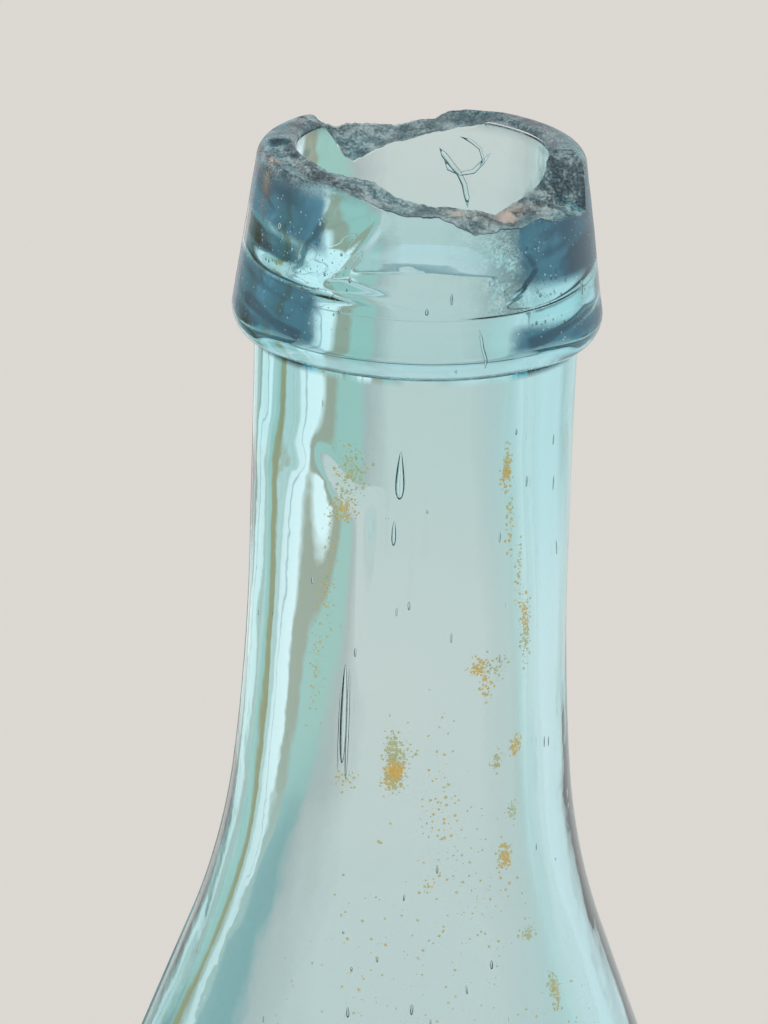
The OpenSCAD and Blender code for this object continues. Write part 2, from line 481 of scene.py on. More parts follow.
def seeds_tree():
    """Scatters the drawn-out bubbles, or seeds, in the wall behind the outer skin."""
    sizes = "Density", "Size Min", "Size Max", "Stretch", "Depth Min", "Depth Max"
    tree, given = started_tree("Seeds in glass", ["Seed"], sizes)
    other = add(tree, "ShaderNodeMath", {0: named(tree, "inside"), 1: named(tree, "weld")})
    skin = add(tree, "ShaderNodeMath", {0: 1.0, 1: other}, operation="SUBTRACT", use_clamp=True)
    here = add(tree, "GeometryNodeInputPosition")
    height = add(tree, "ShaderNodeSeparateXYZ", {0: here}).outputs[2]
    low, high = SEEDS_OVER * MM, (COLLAR_FOOT - SEEDS_UNDER_COLLAR) * MM
    over = add(tree, "ShaderNodeMath", {0: height, 1: low}, operation="GREATER_THAN")
    under = add(tree, "ShaderNodeMath", {0: height, 1: high}, operation="LESS_THAN")
    density = over
    for factor in (under, skin, given["Density"]):
        density = add(tree, "ShaderNodeMath", {0: density, 1: factor}, operation="MULTIPLY")
    deep, drawn = (
        add(
            tree,
            "FunctionNodeRandomValue",
            {"Min": least, "Max": most, "Seed": seed},
            data_type="FLOAT",
        ).outputs["Value"]
        for least, most, seed in (
            (given["Depth Min"], given["Depth Max"], 5), (1.2, given["Stretch"], 8)
        )
    )
    sunk = add(tree, "ShaderNodeMath", {0: deep, 1: -1.0}, operation="MULTIPLY")
    ball = add(tree, "GeometryNodeMeshIcoSphere", {"Radius": 1.0, "Subdivisions": 2})
    hollow = add(tree, "GeometryNodeFlipFaces", {"Mesh": ball})
    placed, _, size = scattered(tree, given, density, sunk)
    tall = add(tree, "ShaderNodeMath", {0: size, 1: drawn}, operation="MULTIPLY")
    scale = add(tree, "ShaderNodeCombineXYZ", {0: size, 1: size, 2: tall})
    lean = {"Min": (-SEED_LEAN, -SEED_LEAN, 0), "Max": (SEED_LEAN, SEED_LEAN, 3), "Seed": 2}
    lean = add(tree, "FunctionNodeRandomValue", lean, data_type="FLOAT_VECTOR").outputs["Value"]
    inputs = {"Points": placed, "Instance": hollow, "Rotation": lean, "Scale": scale}
    seeds = add(tree, "GeometryNodeInstanceOnPoints", inputs)
    seeds = add(tree, "GeometryNodeRealizeInstances", {"Geometry": seeds})
    joined = add(tree, "GeometryNodeJoinGeometry")
    for part in (seeds.outputs[0], given["Geometry"]):
        tree.links.new(part, joined.inputs[0])
    smooth = add(tree, "GeometryNodeSetShadeSmooth", {"Geometry": joined, "Shade Smooth": True})
    return finished_tree(tree, given, smooth)


def flakes_tree():
    """Scatters flakes of iron stain over the inside of the wall, where it is marked."""
    tree, given = started_tree(
        "Stain flakes", ["Seed"], ["Density", "Size Min", "Size Max", "Thickness"]
    )
    laid = {0: named(tree, "stain"), 1: given["Density"]}
    density = add(tree, "ShaderNodeMath", laid, operation="MULTIPLY")
    chip = add(tree, "GeometryNodeMeshIcoSphere", {"Radius": 1.0, "Subdivisions": 1})
    placed, turn, size = scattered(tree, given, density, CRUMBS_OFF_WALL * MM)
    scale = add(tree, "ShaderNodeCombineXYZ", {0: size, 1: size, 2: given["Thickness"]})
    inputs = {"Points": placed, "Instance": chip, "Rotation": turn, "Scale": scale}
    flakes = add(tree, "GeometryNodeInstanceOnPoints", inputs)
    flakes = add(tree, "GeometryNodeRealizeInstances", {"Geometry": flakes})
    # Noise makes each round chip a ragged crumb.
    here = add(tree, "GeometryNodeInputPosition")
    rag = {"Vector": here, "Scale": scale_for(CRUMB_RAG_SIZE), "Detail": 1.0}
    rag = add(tree, "ShaderNodeTexNoise", rag).outputs["Color"]
    off = add(tree, "ShaderNodeVectorMath", {0: rag, 1: (0.5, 0.5, 0.5)}, operation="SUBTRACT")
    push = add(tree, "ShaderNodeVectorMath", {0: off, "Scale": CRUMB_RAG * MM}, operation="SCALE")
    flakes = add(tree, "GeometryNodeSetPosition", {"Geometry": flakes, "Offset": push})
    return finished_tree(tree, given, flakes)


def linked(name, data):
    """A new object of some data, in the scene."""
    made = bpy.data.objects.new(name, data)
    bpy.context.scene.collection.objects.link(made)
    return made


def through_nodes(name, mesh, tree, values):
    """The plain mesh that a node tree makes of a mesh, with its inputs set by name."""
    holder = linked(name, mesh)
    modifier = holder.modifiers.new(name, "NODES")
    modifier.node_group = tree
    for socket in tree.interface.items_tree:
        if socket.in_out == "INPUT" and socket.name in values:
            modifier[socket.identifier] = values[socket.name]
    holder.update_tag()
    graph = bpy.context.evaluated_depsgraph_get()
    plain = bpy.data.meshes.new_from_object(
        holder.evaluated_get(graph), preserve_all_data_layers=True, depsgraph=graph
    )
    bpy.data.objects.remove(holder)
    return plain


# ---------------------------------------------------------------- collar


# The rim's break: direction from +X in degrees, then how far the outer and the
# inner edge lie below the whole rim, in millimetres. Nothing is broken at 0.
RIM_BREAK = (
    (0, 0.0, 0.3), (20, 0.0, 0.2), (45, 0.0, 0.2), (58, 0.0, 0.5), (66, 0.3, 1.0),
    (74, 0.5, 1.3), (80, 0.9, 1.8), (86, 1.6, 2.0), (92, 1.9, 2.3), (98, 2.2, 2.7),
    (104, 2.1, 2.9), (110, 2.0, 3.2), (117, 1.9, 3.7), (123, 2.0, 4.1), (128, 1.6, 3.7),
    (132, 0.9, 2.6), (136, 0.3, 1.5), (143, 0.0, 0.5), (160, 0.0, 0.3), (180, 0.1, 0.3),
    (200, 0.4, 0.4), (212, 0.7, 0.5), (225, 0.9, 0.9), (238, 0.8, 0.8), (249, 1.3, 0.9),
    (258, 2.1, 1.8), (265, 2.4, 2.2), (276, 2.4, 2.5), (288, 3.9, 2.8), (297, 3.8, 3.0),
    (305, 3.7, 3.6), (313, 3.3, 3.0), (325, 3.9, 2.5), (338, 4.4, 2.0), (344, 4.2, 1.5),
    (347, 1.0, 0.8), (352, 0.1, 0.5),
)
# How strongly the joint shows inside: direction from +X in degrees, and share.
SEAM_STRENGTH = (
    (0, 0.3), (50, 0.0), (140, 0.0), (185, 0.8), (235, 1.0), (258, 0.5), (268, 0.2),
    (290, 0.2), (310, 0.5), (335, 0.6), (360, 0.3),
)
# How worn and frosted the unbroken rim is, as a share of a fresh break.
LIP_WEAR = 0.8
# Depths under the rim between which that wear comes on outside, in millimetres.
WORN = 2.4, 0.4
# Lines that the mouth tool left inside: direction and height of the points they
# run through, half width and depth.
TOOL_LINES = (
    (((254, 236.2), (248, 234.4), (241, 232.6), (236, 231.4), (230, 230.6)), 0.36, 0.11),
    (((308, 234.2), (314, 232.9), (320, 231.5), (314, 230.4), (306, 229.2)), 0.36, 0.15),
    (((300, 230.6), (306, 230.9), (314, 231.0)), 0.22, 0.1),
)
# Rings round the spot where the front of the rim was struck.
RINGS_AT, RINGS_APART, RINGS_REACH, RINGS_DEPTH = (283, 237.2), 0.6, 2.0, 0.02
# Where soil clings to the break: direction, radius, half width in degrees and mm.
DEPOSITS = ((309, 11.4, 11, 1.1), (286, 11.2, 6, 0.4), (203, 13.2, 3.5, 0.8))


def inner_marks(angle, z):
    """How far the tool lines and the ripples of the blow push the inner wall out."""
    push = 0.0
    for path, half_width, depth in TOOL_LINES:
        near = min(off_segment((angle, z), start, end) for start, end in zip(path, path[1:]))
        push += depth * math.exp(-((near / half_width) ** 2))
    off = math.hypot(math.radians(angle - RINGS_AT[0]) * BORE_R, z - RINGS_AT[1])
    ripple = math.cos(math.tau * off / RINGS_APART) * math.exp(-((off / RINGS_REACH) ** 2))
    return push + RINGS_DEPTH * ripple


def off_segment(place, start, end):
    """Distance over the bore's wall from a place to a straight line, in millimetres."""
    per_degree = math.radians(1) * BORE_R
    px, py = (place[0] - start[0]) * per_degree, place[1] - start[1]
    dx, dy = (end[0] - start[0]) * per_degree, end[1] - start[1]
    t = clamped((px * dx + py * dy) / (dx * dx + dy * dy))
    return math.hypot(px - t * dx, py - t * dy)


def deposit(x, y, z):
    """How thickly soil clings at a point of the collar, from 0 to 1."""
    angle, r = math.degrees(math.atan2(y, x)) % 360, math.hypot(x, y) / MM
    return sum(
        math.exp(-(((angle - at) / wide) ** 2) - ((r - radius) / deep) ** 2)
        for at, radius, wide, deep in DEPOSITS
    )


def wear(side, z):
    """How frosted the glass is: fully on a break, partly on the rim and its outer edge."""
    if side == OUTSIDE:
        return LIP_WEAR * ramp(z, RIM_Z - WORN[0], RIM_Z - WORN[1])
    return {BROKEN: 1.0, LIP: LIP_WEAR}.get(side, 0.0)


def rim_break(angle):
    """Depth of the break at the outer and at the inner edge, at an angle in degrees."""
    angles = [row[0] for row in RIM_BREAK] + [360]
    outer = [row[1] for row in RIM_BREAK] + [RIM_BREAK[0][1]]
    inner = [row[2] for row in RIM_BREAK] + [RIM_BREAK[0][2]]
    return np.interp(angle % 360, angles, outer), np.interp(angle % 360, angles, inner)


def collar_outer_r(z, s, neck_r, angle=0.0):
    """Radius of the whole collar's outside at a height, rim edge and undercut included."""
    widest_z = COLLAR_FOOT + s.undercut_h
    rim_r = neck_r + s.rim_out
    if z <= widest_z:
        # The undercut is round at the sides and melts into the neck in front and behind.
        drop = min((widest_z - z) / s.undercut_h, 1)
        melted = 0.8 * smooth_step((abs(math.sin(math.radians(angle))) - 0.45) / 0.35)
        share = math.sqrt(1 - drop * drop) * (1 - melted) + (1 - smooth_step(drop)) * melted
        return neck_r + (WIDEST_R - neck_r) * share
    edge_z = RIM_Z - s.rim_round
    if z <= edge_z:
        return WIDEST_R + (rim_r - WIDEST_R) * (z - widest_z) / (edge_z - widest_z)
    lift = min((z - edge_z) / s.rim_round, 1)
    return rim_r - s.rim_round * (1 - math.sqrt(1 - lift * lift))


def lip_z(r, s, neck_r):
    """Height of the whole rim's top at a radius."""
    rim_r = neck_r + s.rim_out
    mouth_r = BORE_R + s.mouth_ease
    out = max(r - (rim_r - s.rim_round), 0) / s.rim_round
    into = max(mouth_r + s.mouth_round - r, 0) / s.mouth_round
    fall = s.rim_round * (1 - math.sqrt(max(1 - out * out, 0)))
    return RIM_Z - fall - s.mouth_round * (1 - math.sqrt(max(1 - into * into, 0)))


def collar_wave(angle, z, seed):
    """Unevenness of the hand-tooled surface, from -1 to 0: slow lumps and tool rings."""
    a = math.radians(angle)
    slow = noise.noise((math.cos(a) * 1.3, math.sin(a) * 1.3, z * 0.16 + seed))
    rings = noise.noise((math.cos(a) * 0.5, math.sin(a) * 0.5, z * 0.9 + seed + 9))
    return -0.5 + 0.4 * slow + 0.22 * rings


def grain(x, y, z, size, seed):
    """Fractal roughness of broken glass, about -1 to 1, for features of a size in mm."""
    p = Vector((x / size, y / size, z / size + seed))
    return noise.fractal(p, 0.9, 2.1, 4, noise_basis="PERLIN_ORIGINAL")


# How ragged an edge of the break is: the radius it lies at, then the height, size
# and seed of its jags and of its nibbles, in millimetres.
OUTER_RAG = (14, ((0.16, 1.9, 3.0), (0.1, 0.45, 4.0)))
INNER_RAG = (10, ((0.1, 1.6, 8.0), (0.07, 0.4, 9.0)))


def ragged(a, rag):
    """How far an edge of the break wanders at angle a, in millimetres."""
    r, roughness = rag
    x, y = math.cos(a) * r, math.sin(a) * r
    return sum(height * grain(x, y, 0, size, seed) for height, size, seed in roughness)


def collar_rows(angle, s, neck_r):
    """One upright slice of the collar: its closed outline as points and their sides."""
    a = math.radians(angle)
    mouth_r = BORE_R + s.mouth_ease
    outer_cut, inner_cut = rim_break(angle)
    outer_cut += min(outer_cut, 1) * ragged(a, OUTER_RAG)
    inner_cut += min(inner_cut, 1) * ragged(a, INNER_RAG)
    rows = []
    widest_z = COLLAR_FOOT + s.undercut_h
    for i in range(13):
        z = widest_z - s.undercut_h * math.cos(math.pi / 2 * i / 12)
        rows.append([collar_outer_r(z, s, neck_r, angle), z, OUTSIDE])
    rows[0][0] += s.weld_gap
    top = RIM_Z - max(outer_cut, s.rim_round * 0.35)
    for i in range(1, 45):
        t = i / 44
        t = t + 0.12 * math.sin(math.pi * t) * t
        z = widest_z + (top - widest_z) * min(t, 1)
        rows.append([collar_outer_r(z, s, neck_r), z, OUTSIDE])
    outer_end = rows[-1][0]
    bottom = RIM_Z - max(inner_cut, s.mouth_round * 0.6)
    inner_start = mouth_r
    steps = 30
    for i in range(1, steps):
        t = 0.5 - 0.5 * math.cos(math.pi * i / steps)
        r = outer_end + (inner_start - outer_end) * t
        whole = lip_z(r, s, neck_r)
        bowl = 0.35 * math.sin(math.pi * t) * min(outer_cut + inner_cut, 2)
        cut = RIM_Z - (outer_cut + (inner_cut - outer_cut) * t) - bowl * 0.4
        x, y = r * math.cos(a), r * math.sin(a)
        broken = smooth_step((whole - cut) / 0.35)
        if outer_cut + inner_cut < 0.45:
            broken = 0.0
        rough = grain(x, y, 0, 0.9, 1.0) * s.chip_rough
        rough += grain(x, y, 0, 0.32, 5.0) * 0.3 * s.chip_rough
        fade = math.sin(math.pi * t) ** 0.5
        z = whole * (1 - broken) + (cut + rough * fade) * broken if whole > cut else whole
        rows.append([r, min(z, whole), BROKEN if broken > 0.3 else LIP])
    rows.append([inner_start, bottom, INSIDE])
    floor = NECK_END + 0.1
    seam_z = seam_height(a)
    seam = s.seam_depth * np.interp(angle % 360, *zip(*SEAM_STRENGTH))
    for i in range(1, 37):
        t = i / 36
        z = bottom + (floor - bottom) * t
        eased = BORE_R + s.mouth_ease * smooth_step((z - NECK_END) / 4)
        groove = seam * math.exp(-(((z - seam_z) / 0.7) ** 2))
        rows.append([eased + groove, z, INSIDE])
    gap = s.weld_gap
    rows.append([BORE_R, NECK_END + gap + 0.02, INSIDE])
    rows.append([BORE_R + 0.02, NECK_END + gap, WELD])
    rows.append([neck_r - 0.1, NECK_END + gap, WELD])
    rows.append([neck_r + gap, NECK_END + gap, WELD])
    for i in range(1, 7):
        rows.append([neck_r + gap, NECK_END + (COLLAR_FOOT - NECK_END) * i / 7, WELD])
    return rows


# Height of the unevenness outside and inside the collar, in millimetres.
COLLAR_WAVE, MOUTH_WAVE = 0.12, 0.16


def collar_mesh(s, neck_r):
    """The collar as one closed mesh of upright slices."""
    slices = [collar_rows(360 * i / s.around, s, neck_r) for i in range(s.around)]
    count = len(slices[0])
    points, sides = [], []
    for i, rows in enumerate(slices):
        a = math.tau * i / s.around
        for r, z, side in rows:
            if side in (OUTSIDE, LIP):
                r += COLLAR_WAVE * collar_wave(math.degrees(a), z, 2.0)
                if z < COLLAR_FOOT + s.undercut_h:
                    over_foot = min((z - COLLAR_FOOT) / 0.2, 1)
                    r = max(r, neck_r + s.weld_gap + 0.08 * over_foot)
            elif side == INSIDE:
                swell = smooth_step((z - NECK_END) / 2)
                r += MOUTH_WAVE * swell * (collar_wave(math.degrees(a), z, 5.0) + 0.5)
                r += swell * inner_marks(math.degrees(a), z)
            points.append((r * math.cos(a) * MM, r * math.sin(a) * MM, z * MM))
            sides.append(side)
    faces = []
    for i in range(s.around):
        j = (i + 1) % s.around
        for k in range(count):
            n = (k + 1) % count
            faces.append((i * count + k, j * count + k, j * count + n, i * count + n))
    mesh = bpy.data.meshes.new("applied_collar_glass")
    mesh.from_pydata(points, [], faces)
    mark(mesh, "weld", [side == WELD for side in sides])
    mark(mesh, "broken", [wear(side, z / MM) for side, (_, _, z) in zip(sides, points)])
    mark(mesh, "outer", [side == OUTSIDE for side in sides])
    mark(mesh, "deposit", [deposit(*point) for point in points])
    return mesh


# ---------------------------------------------------------------- materials


def new_material(name):
    """An empty material and its node tree."""
    material = bpy.data.materials.new(name)
    material.use_nodes = True
    material.node_tree.nodes.clear()
    return material, material.node_tree


def marked(tree, name):
    """The factor socket of a number kept on the mesh."""
    return add(tree, "ShaderNodeAttribute", attribute_name=name).outputs["Fac"]


# The painted blue shade of the collar's edges starts over a slanting line round the
# collar: its height over the neck end, its slant either way and where it is highest, in radians.
BLUE_OVER, BLUE_SLANT, BLUE_HIGHEST = 4.2, 2.0, 3.05
# It fades in over this height, and is back below the line, down to the skirt's foot.
BLUE_FADE, BLUE_BACK, SKIRT_FOOT = 1.2, (-2.3, -3.3), (1.9, 2.9)
# How far the glass has to turn from the eye for the painted blue to start and to
# stop, and how uneven that is, as a share of the full turn.
BLUE_STARTS, BLUE_STOPS, BLUE_UNEVEN = (0.22, 0.28), (1.3, 1.1), 0.15


def painted_edge_shade(tree, where):
    """Where the thick collar turns away from the eye: how much painted deep-blue shade it gets.

    The blue is painted shade, laid on by the turn from the eye. It stands in for light
    that runs along inside the collar's wall and comes out deep blue there, above the
    joint that its seam line marks and in the skirt below it.
    """
    facing = add(tree, "ShaderNodeLayerWeight", {"Blend": 0.5}).outputs["Facing"]
    x, y, z = add(tree, "ShaderNodeSeparateXYZ", {0: where}).outputs
    blotch = add(tree, "ShaderNodeTexNoise", {"Vector": where, "Scale": scale_for(4), "Detail": 3.0})
    turn = add(tree, "ShaderNodeMath", {0: y, 1: x}, operation="ARCTAN2")
    sway = add(tree, "ShaderNodeMath", {0: turn, 1: BLUE_HIGHEST}, operation="SUBTRACT")
    swing = add(tree, "ShaderNodeMath", {0: sway}, operation="COSINE")
    line = {0: swing, 1: BLUE_SLANT * MM, 2: (NECK_END + BLUE_OVER) * MM}
    line = add(tree, "ShaderNodeMath", line, operation="MULTIPLY_ADD")
    over = add(tree, "ShaderNodeMath", {0: z, 1: line}, operation="SUBTRACT")
    uneven = {0: blotch, 1: BLUE_UNEVEN, 2: facing}
    uneven = add(tree, "ShaderNodeMath", uneven, operation="MULTIPLY_ADD")
    above, below, near, far = (
        add(
            tree,
            "ShaderNodeMapRange",
            {"Value": value, "From Min": start, "From Max": end},
            interpolation_type="SMOOTHSTEP",
        )
        for value, start, end in (
            (over, 0.0, BLUE_FADE * MM),
            (over, BLUE_BACK[0] * MM, BLUE_BACK[1] * MM),
            (uneven, *BLUE_STARTS),
            (uneven, *BLUE_STOPS),
        )
    )
    low, high = ((COLLAR_FOOT + step) * MM for step in SKIRT_FOOT)
    skirt = add(tree, "ShaderNodeMapRange", {"Value": z, "From Min": low, "From Max": high})
    low = add(tree, "ShaderNodeMath", {0: below, 1: skirt}, operation="MULTIPLY")
    zones = add(tree, "ShaderNodeMath", {0: above, 1: low})
    ring = add(tree, "ShaderNodeMath", {0: near, 1: far}, operation="MULTIPLY")
    return add(tree, "ShaderNodeMath", {0: ring, 1: zones}, operation="MULTIPLY")


# Sizes of the glass's patterns in millimetres: the orange peel of the skin, the grit
# of a break, its patches, its grains, and how far apart the specks of air stand.
PEEL, GRIT, PATCH, GRAIN, SPECKS_APART = 2.8, 0.4, 1.6, 0.24, 0.5
# Shares of the break's grain at which it turns light, holds soil, is crushed, and
# at which specks of air show.
GRAIN_LIGHT, GRAIN_SOILED = (0.42, 0.58), (0.4, 0.52)
GRAIN_CRUSHED, GRAIN_SPECKED = (0.49, 0.6), (0.48, 0.51)
# How frosted a break is at its least, how much crushed grain adds, and the share of
# the painted blue shade that is a diffuse painted haze.
FROST, FROST_CRUSHED, PAINTED_HAZE_SHARE = 0.22, 0.5, 0.5


def aqua_glass(name, looks, painted_edge_depth=0.0):
    """Soda-lime bottle glass, mouth-blown and fire-polished, with iron's aqua tint.

    The tint deepens with the glass a ray crosses; the skin is smooth with a faint
    orange peel, and broken faces are grainy and greyer.
    """
    material, tree = new_material(name)
    broken = marked(tree, "broken")
    where = add(tree, "ShaderNodeTexCoord").outputs["Object"]
    peel, grit, patches = (
        add(tree, "ShaderNodeTexNoise", {"Vector": where, "Scale": scale_for(size), "Detail": fine})
        for size, fine in ((PEEL, 2.0), (GRIT, 4.0), (PATCH, 2.0))
    )
    grains = {"Vector": where, "Scale": scale_for(GRAIN), "Detail": 4.0, "Roughness": 0.7}
    grains = add(tree, "ShaderNodeTexNoise", grains)
    height = add(tree, "ShaderNodeMix", {"Factor": broken, "A": peel, "B": grit})
    deep, roughness = (
        add(tree, "ShaderNodeMapRange", {"Value": broken, "To Min": whole, "To Max": fresh})
        for whole, fresh in ((0.1, 0.8), (0.0, 0.3))
    )
    skin = add(tree, "ShaderNodeBump", {"Height": height, "Strength": deep, "Distance": 0.12 * MM})
    # Grain of the break, in lighter and darker patches.
    streaks = add(tree, "ShaderNodeMix", {"Factor": 0.45, "A": grains, "B": patches})
    hollow, crust, crushed = (
        add(tree, "ShaderNodeMapRange", {"Value": streaks, "From Min": low, "From Max": high})
        for low, high in (GRAIN_LIGHT, GRAIN_SOILED, GRAIN_CRUSHED)
    )
    grained = {"Factor": hollow, "A": looks.fracture_dark, "B": looks.fracture}
    grained = add(tree, "ShaderNodeMix", grained, data_type="RGBA").outputs["Result"]
    stone = {"Factor": broken, "A": (1, 1, 1, 1), "B": grained}
    stone = add(tree, "ShaderNodeMix", stone, data_type="RGBA").outputs["Result"]
    soil = {0: marked(tree, "deposit"), 1: crust}
    soil = add(tree, "ShaderNodeMath", soil, operation="MULTIPLY")
    stone = {"Factor": soil, "A": stone, "B": looks.soil}
    stone = add(tree, "ShaderNodeMix", stone, data_type="RGBA").outputs["Result"]
    haze, haze_colour = 0.0, grained
    # Painted shade: deep blue painted into the collar's outer skin where it turns from the eye, with a
    # diffuse painted haze over it.
    if painted_edge_depth:
        whole = add(tree, "ShaderNodeMath", {0: 1.0, 1: broken}, operation="SUBTRACT", use_clamp=True)
        depth = painted_edge_shade(tree, where)
        for factor in (painted_edge_depth, whole, marked(tree, "outer")):
            depth = add(tree, "ShaderNodeMath", {0: depth, 1: factor}, operation="MULTIPLY")
        # Painted white glints of air specks under the skin, 0.1 mm across, dot the painted blue.
        cells = {"Vector": where, "Scale": scale_for(SPECKS_APART)}
        cells = add(tree, "ShaderNodeTexVoronoi", cells).outputs["Distance"]
        glint, specked = (
            add(tree, "ShaderNodeMapRange", {"Value": value, "From Min": low, "From Max": high})
            for value, low, high in ((cells, 0.2, 0.1), (streaks, *GRAIN_SPECKED))
        )
        glint = add(tree, "ShaderNodeMath", {0: glint, 1: specked}, operation="MULTIPLY")
        painted_deep_blue, painted_haze = (
            add(
                tree,
                "ShaderNodeMix",
                {"Factor": glint, "A": shade, "B": looks.fracture},
                data_type="RGBA",
            ).outputs["Result"]
            for shade in (looks.edge, looks.painted_edge_haze)
        )
        # Part of the painted blue is a diffuse painted shade. It stands in for light that the
        # air specks scatter, and it hides what lies behind them.
        haze = add(tree, "ShaderNodeMath", {0: depth, 1: PAINTED_HAZE_SHARE}, operation="MULTIPLY")
        haze_colour, stone = (
            add(
                tree, "ShaderNodeMix", {"Factor": factor, "A": a, "B": b}, data_type="RGBA"
            ).outputs["Result"]
            for factor, a, b in ((broken, painted_haze, grained), (depth, stone, painted_deep_blue))
        )
        roughness = {0: depth, 1: 0.1, 2: roughness}
        roughness = add(tree, "ShaderNodeMath", roughness, operation="MULTIPLY_ADD")
    shell = add(
        tree,
        "ShaderNodeBsdfPrincipled",
        {
            "Base Color": stone,
            "Roughness": roughness,
            "IOR": 1.52,
            "Transmission Weight": 1.0,
            "Normal": skin,
        },
    )
    # Crushed glass on the break scatters the light like frost. The painted blue haze of
    # the collar's edges is laid on through the same layer.
    frosted = {0: crushed, 1: FROST_CRUSHED, 2: FROST}
    frosted = add(tree, "ShaderNodeMath", frosted, operation="MULTIPLY_ADD")
    frosted = {0: frosted, 1: broken, 2: haze}
    frosted = add(tree, "ShaderNodeMath", frosted, operation="MULTIPLY_ADD")
    frosted = add(tree, "ShaderNodeMath", {0: frosted, 1: soil}, operation="MAXIMUM")
    frost = {"Factor": soil, "A": haze_colour, "B": looks.soil}
    frost = add(tree, "ShaderNodeMix", frost, data_type="RGBA").outputs["Result"]
    frost = {"Base Color": frost, "Roughness": 0.6, "Normal": skin}
    frost = add(tree, "ShaderNodeBsdfPrincipled", frost)
    shell = add(tree, "ShaderNodeMixShader", {0: frosted, 1: shell, 2: frost})
    clear = add(tree, "ShaderNodeBsdfTransparent")
    surface = add(tree, "ShaderNodeMixShader", {0: marked(tree, "weld"), 1: shell, 2: clear})
    tint = {"Color": looks.tint, "Density": looks.density}
    tint = add(tree, "ShaderNodeVolumeAbsorption", tint)
    add(tree, "ShaderNodeOutputMaterial", {"Surface": surface, "Volume": tint})
    return material


# ---------------------------------------------------------------- bubbles and cracks


# Large bubbles in the neck: direction from +X in degrees, height, depth under the
# outer skin, half length, half width and taper towards the top. All in millimetres.
NECK_BUBBLES = (
    (265.6, 215.2, 1.2, 2.1, 0.36, 0.5), (264, 210.2, 1.1, 1.1, 0.2, 0.3),
    (316.9, 213.8, 1.0, 0.5, 0.1, 0), (333.9, 212.7, 1.0, 0.65, 0.11, 0),
    (305, 209.4, 1.0, 0.45, 0.09, 0), (286.6, 201.1, 1.0, 0.45, 0.09, 0),
    (266, 203.4, 1.0, 0.4, 0.08, 0), (276, 212.2, 1.0, 0.18, 0.08, 0),
    (247.6, 194, 1.0, 4.4, 0.3, 0.2), (249.4, 193.2, 0.9, 4.9, 0.16, 0.1),
    (246, 192.5, 1.1, 3.6, 0.09, 0), (331, 190, 1.0, 0.5, 0.09, 0), (334, 189.8, 1.0, 0.45, 0.09, 0),
    (251, 199.5, 1.0, 0.4, 0.1, 0), (232, 205, 1.0, 0.35, 0.09, 0), (283, 181, 1.2, 0.4, 0.1, 0),
)
# The same for the collar, where one end is drawn out by the tool.
COLLAR_BUBBLES = (
    (273, 229.6, 1.8, 0.3, 0.14, 0.3), (335, 229.8, 0.9, 0.7, 0.16, 0), (332, 226.8, 0.9, 0.35, 0.14, 0),
    (247, 231.8, 1.5, 0.25, 0.12, 0), (281, 230.7, 1.6, 0.5, 0.1, 0), (318, 231.5, 1.2, 0.2, 0.1, 0),
    (228, 233.0, 1.0, 0.2, 0.1, 0), (218, 235.0, 1.0, 0.25, 0.12, 0), (236, 236.2, 1.0, 0.2, 0.1, 0),
)
# Cracks run through direction and height, with a half width, at a depth.
CRACKS = (
    (((290.2, 228.2), (291.0, 227.4), (291.6, 226.5), (292.8, 225.6), (293.0, 224.9)), 0.13, 1.3),
    (
        ((83, 236.3), (81, 235.7), (78, 235), (74.5, 234.2), (72, 233.2), (70.8, 232.2), (70.3, 231.2)),
        0.27, 2.3,
    ),
    (((61, 236.4), (64.5, 235.4), (68.5, 234.5), (74.2, 234.1), (79, 234.5), (81, 235.2)), 0.2, 2.0),
    (((75, 237.4), (70, 237.1), (66, 236.6), (64.3, 235.6), (66, 234.9)), 0.16, 2.1),
)


def collar_specks():
    """Fine specks of air in the thick glass at the collar's left and right."""
    chance = random.Random(12)
    for middle, reach, count in ((226, 22, 110), (326, 20, 90)):
        for _ in range(count):
            angle = middle + reach * chance.uniform(-1, 1)
            z = RIM_Z - chance.uniform(5.0, 12.5)
            yield angle, z, chance.uniform(0.25, 1.2), 0.045 + 0.1 * chance.random() ** 3


def add_bubble(build, angle, r, z, half_length, half_width, taper, finish=3):
    """One closed bubble in the wall, its faces turned to the air inside it."""
    ball = bmesh.ops.create_icosphere(build, subdivisions=finish, radius=1)["verts"]
    turn = Matrix.Rotation(math.radians(angle), 3, "Z")
    centre = point_at(angle, r, z)
    for v in ball:
        thin = half_width * (1 - taper * v.co.z)
        local = Vector((v.co.x * min(thin, 0.3), v.co.y * thin, v.co.z * half_length))
        v.co = centre + turn @ local * MM
    faces = list({f for v in ball for f in v.link_faces})
    bmesh.ops.reverse_faces(build, faces=faces)
    return faces


CRACK_SIDES = 8


def add_crack(build, path, half_width, r):
    """A closed sliver of air along a path on the wall, flat as a blade."""
    rings = []
    for k, (angle, z) in enumerate(path[1:-1]):
        before, after = point_at(*with_radius(path[k], r)), point_at(*with_radius(path[k + 2], r))
        along = (after - before).normalized()
        out = point_at(angle, 1, 0).normalized()
        across = along.cross(out)
        centre = point_at(angle, r, z)
        ring = []
        for i in range(CRACK_SIDES):
            turn = math.tau * i / CRACK_SIDES
            side = across * math.cos(turn) * half_width + out * math.sin(turn) * half_width * 0.3
            ring.append(build.verts.new(centre + side * MM))
        rings.append(ring)
    tips = [build.verts.new(point_at(*with_radius(path[i], r))) for i in (0, -1)]
    faces = []
    for i in range(CRACK_SIDES):
        j = (i + 1) % CRACK_SIDES
        for low, high in zip(rings, rings[1:]):
            faces.append(build.faces.new((low[i], high[i], high[j], low[j])))
        faces.append(build.faces.new((tips[0], rings[0][i], rings[0][j])))
        faces.append(build.faces.new((tips[1], rings[-1][j], rings[-1][i])))
    bmesh.ops.recalc_face_normals(build, faces=faces)
    bmesh.ops.reverse_faces(build, faces=faces)
    return faces


def with_radius(place, r):
    """A direction and a height with a radius put between them."""
    return place[0], r, place[1]


# ---------------------------------------------------------------- stain


